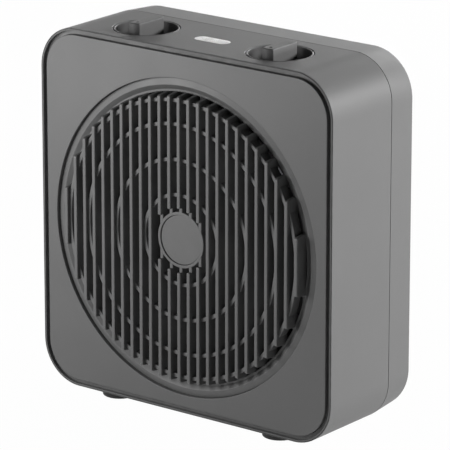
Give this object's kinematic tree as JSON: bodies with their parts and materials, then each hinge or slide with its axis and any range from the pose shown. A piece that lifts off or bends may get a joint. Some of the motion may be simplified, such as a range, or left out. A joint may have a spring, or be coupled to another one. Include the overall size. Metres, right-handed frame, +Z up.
{
  "type": "fan heater",
  "caption": "Compact square free-standing fan heater with a round slatted outlet grille, dished rotary knobs on top, an indicator window and rubber feet.",
  "frame": {"origin": "on the floor under the middle of the heater's box", "axes": "+X to the right seen from the front, +Y to the back, +Z up"},
  "size_m": [0.245, 0.097, 0.2638],
  "materials": {
    "body_plastic": "satin moulded dark grey plastic with a fine spark-eroded grain",
    "panel_plastic": "satin moulded dark grey plastic",
    "grille_plastic": "heat-proof dark grey plastic",
    "knob_plastic": "satin dark grey plastic",
    "lens_plastic": "milky translucent plastic",
    "foot_rubber": "matt black rubber",
    "control_plastic": "cream heat-proof plastic",
    "board_laminate": "circuit board laminate",
    "mica": "pressed dark mica board",
    "steel": "zinc plated steel",
    "heated_steel": "steel band darkened by the heat",
    "lamination_steel": "stacked electrical steel sheets",
    "cast_zinc": "die-cast bracket metal",
    "bronze": "sintered bronze",
    "winding": "enamelled copper winding under tape",
    "resistance_wire": "wound resistance wire",
    "fan_plastic": "black heat-proof fan plastic",
    "wire_sheath": "heat-proof wire sheath"
  },
  "bodies": {
    "chassis": {"main_housing": "body_plastic", "front_panel": "panel_plastic", "front_grille": "grille_plastic", "hub_cap": "grille_plastic", "rear_cover": "body_plastic", "rubber_feet": "foot_rubber", "mode_switch": "control_plastic", "thermostat": "control_plastic", "indicator_lens": "lens_plastic", "indicator_board": "board_laminate", "indicator_lamp": "lens_plastic", "fan_shroud": "fan_plastic", "motor_stator": "lamination_steel", "motor_coil": "winding", "motor_bracket": "steel", "front_bearing_bracket": "cast_zinc", "rear_bearing_bracket": "cast_zinc", "bearing_bushes": "bronze", "heater_ring": "heated_steel", "mica_frame": "mica", "outer_heating_coil": "resistance_wire", "inner_heating_coil": "resistance_wire", "thermal_cutout": "control_plastic", "thermal_fuse": "control_plastic", "tip_switch": "control_plastic", "terminal_block": "control_plastic", "cord_grommet": "foot_rubber", "wiring": "wire_sheath", "panel_screws": "steel", "cover_screws": "steel", "shroud_screws": "steel", "bracket_screws": "steel", "heater_screws": "steel", "control_screws": "steel", "board_screws": "steel", "tip_switch_screws": "steel", "terminal_screw": "steel", "motor_screws": "steel", "motor_nuts": "steel"},
    "mode_knob": {"mode_knob": "knob_plastic", "mode_switch_shaft": "steel"},
    "thermostat_knob": {"thermostat_knob": "knob_plastic", "thermostat_shaft": "steel"},
    "fan": {"fan_impeller": "fan_plastic", "motor_shaft": "steel", "motor_rotor": "lamination_steel"},
    "tip_plunger": {"tip_plunger": "knob_plastic"}
  },
  "joints": [
    {"name": "mode_turn", "type": "hinge", "parent": "chassis", "child": "mode_knob", "pos_m": [-0.056, -0.0115, 0.258], "axis": [0, 0, 1], "range_deg": [-90, 90]},
    {"name": "thermostat_turn", "type": "hinge", "parent": "chassis", "child": "thermostat_knob", "pos_m": [0.056, -0.0115, 0.258], "axis": [0, 0, 1], "range_deg": [-135, 135]},
    {"name": "fan_spin", "type": "hinge", "parent": "chassis", "child": "fan", "pos_m": [0, 0, 0.12765], "axis": [0, 1, 0], "continuous": true},
    {"name": "tip_plunger_slide", "type": "slide", "parent": "chassis", "child": "tip_plunger", "axis": [0, 0, -1], "range_m": [0, 0.004], "stiffness_N_per_m": 60, "springref_m": 0.006}
  ]
}
